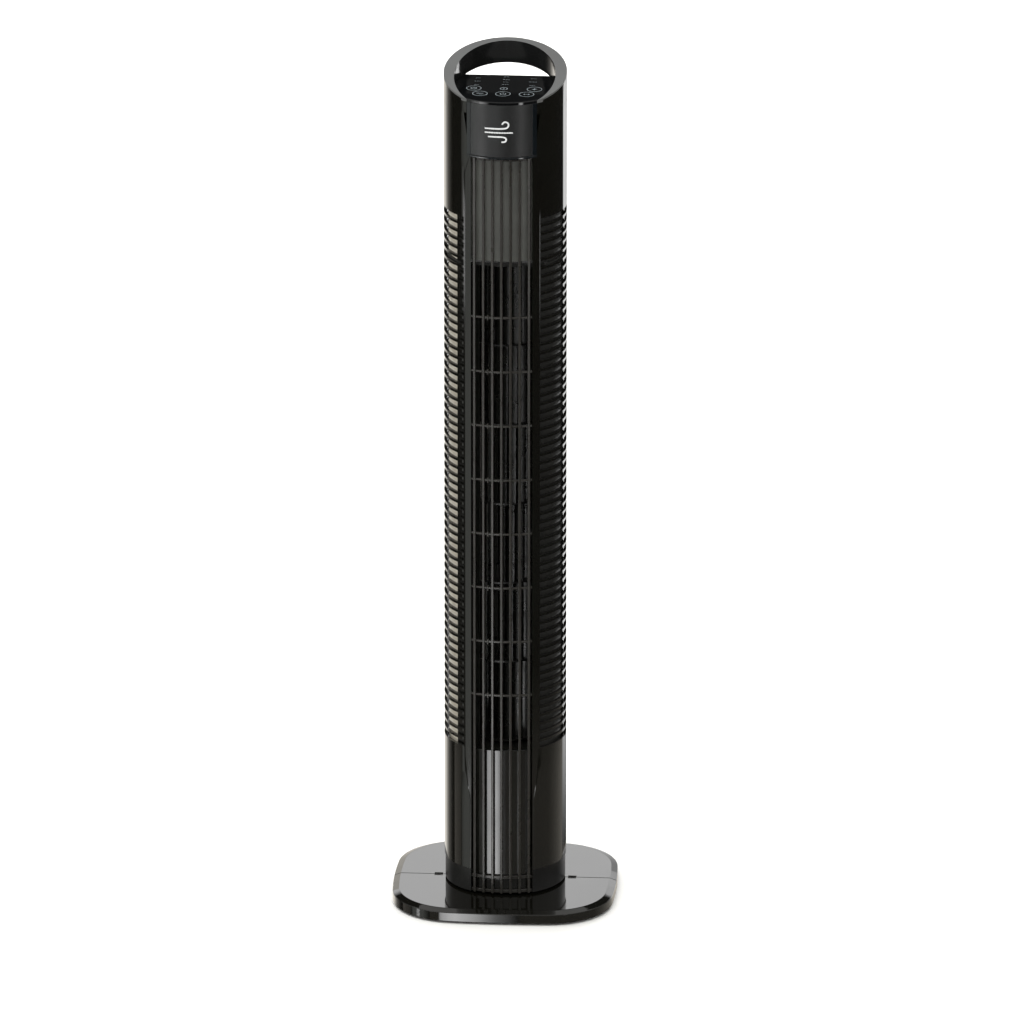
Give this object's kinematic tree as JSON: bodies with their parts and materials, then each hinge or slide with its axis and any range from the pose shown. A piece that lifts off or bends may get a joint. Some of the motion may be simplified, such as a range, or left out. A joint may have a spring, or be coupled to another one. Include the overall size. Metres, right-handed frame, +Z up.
{
  "type": "tower fan",
  "caption": "Slim round tower fan with front rib grille, side and rear vents, slanted carrying ring, touch panel and a low rounded-square base; it sweeps and its impeller turns.",
  "frame": {"origin": "on the floor, on the column's axis, at the middle of the base", "axes": "+Z up, -Y the front the air leaves by, +X to the right seen from the front"},
  "size_m": [0.2, 0.186, 0.785],
  "materials": {
    "gloss_shell": "high-gloss black ABS",
    "panel_gloss": "high-gloss black acrylic",
    "display_window": "satin smoked polycarbonate",
    "bezel_gloss": "gloss blue-black polycarbonate",
    "satin_ring": "satin dark grey ABS",
    "satin_collar": "satin black ABS",
    "grille_plastic": "satin grey-brown ABS",
    "plate_gloss": "gloss black ABS",
    "zinc_steel": "zinc-plated sheet steel",
    "screw_steel": "zinc-plated screws",
    "foot_rubber": "moulded rubber",
    "gland_rubber": "moulded rubber",
    "dark_plastic": "moulded polypropylene",
    "white_plastic": "natural acetal",
    "motor_can": "plated steel can",
    "shaft_steel": "ground steel",
    "duct_plastic": "moulded polypropylene",
    "bronze": "sintered bronze",
    "impeller_plastic": "moulded glass-filled AS",
    "lamination_steel": "stacked silicon steel",
    "copper_wire": "enamelled copper wire",
    "cast_bell": "die-cast aluminium",
    "capacitor_case": "moulded case",
    "circuit_board": "solder-masked laminate",
    "component_black": "moulded epoxy"
  },
  "bodies": {
    "base": {"base_front_half": "gloss_shell", "base_rear_half": "gloss_shell", "base_brace": "zinc_steel", "base_screws": "screw_steel", "rubber_feet": "foot_rubber", "seam_clips": "dark_plastic", "pedestal": "dark_plastic", "slip_ring": "white_plastic", "fixed_gear": "white_plastic", "lock_nut": "dark_plastic"},
    "column": {"front_shell": "gloss_shell", "rear_shell": "gloss_shell", "top_cap": "gloss_shell", "control_panel": "panel_gloss", "display_panel": "display_window", "display_bezel": "bezel_gloss", "handle_ring": "satin_ring", "bottom_collar": "satin_collar", "front_grille": "grille_plastic", "grille_foot": "grille_plastic", "lower_plate": "plate_gloss", "upper_plate": "plate_gloss", "turntable": "dark_plastic", "collar_screws": "screw_steel", "cord_gland": "gland_rubber", "sweep_bracket": "zinc_steel", "sweep_motor": "motor_can", "sweep_screws": "screw_steel", "shell_screws": "screw_steel", "duct_scroll": "duct_plastic", "duct_tongue": "duct_plastic", "duct_floor": "duct_plastic", "duct_ceiling": "duct_plastic", "bearing_cushion": "gland_rubber", "upper_bush": "bronze", "motor_stator": "lamination_steel", "motor_windings": "copper_wire", "motor_lower_bell": "cast_bell", "motor_upper_bell": "cast_bell", "motor_bushes": "bronze", "side_liners": "plate_gloss", "motor_plate": "zinc_steel", "motor_screws": "screw_steel", "run_capacitor": "capacitor_case", "control_board": "circuit_board", "board_components": "component_black", "display_board": "circuit_board", "touch_board": "circuit_board"},
    "impeller": {"impeller_segment_1": "impeller_plastic", "impeller_segment_2": "impeller_plastic", "impeller_segment_3": "impeller_plastic", "impeller_segment_4": "impeller_plastic", "impeller_segment_5": "impeller_plastic", "impeller_segment_6": "impeller_plastic", "impeller_cap": "impeller_plastic", "upper_axle": "shaft_steel", "motor_shaft": "shaft_steel", "motor_rotor": "lamination_steel"},
    "pinion": {"drive_pinion": "white_plastic", "pinion_shaft": "shaft_steel"}
  },
  "joints": [
    {"name": "column_sweep", "type": "hinge", "parent": "base", "child": "column", "pos_m": [0, 0, 0.0145], "axis": [0, 0, 1], "range_deg": [-35, 35]},
    {"name": "impeller_spin", "type": "hinge", "parent": "column", "child": "impeller", "pos_m": [0, 0.008, 0.15], "axis": [0, 0, 1], "continuous": true},
    {"name": "pinion_spin", "type": "hinge", "parent": "column", "child": "pinion", "pos_m": [0, 0.03, 0.0245], "axis": [0, 0, 1], "range_deg": [-106, 106]}
  ],
  "couplings": [
    {"joint": "pinion_spin", "follows": "column_sweep", "ratio": 3}
  ]
}
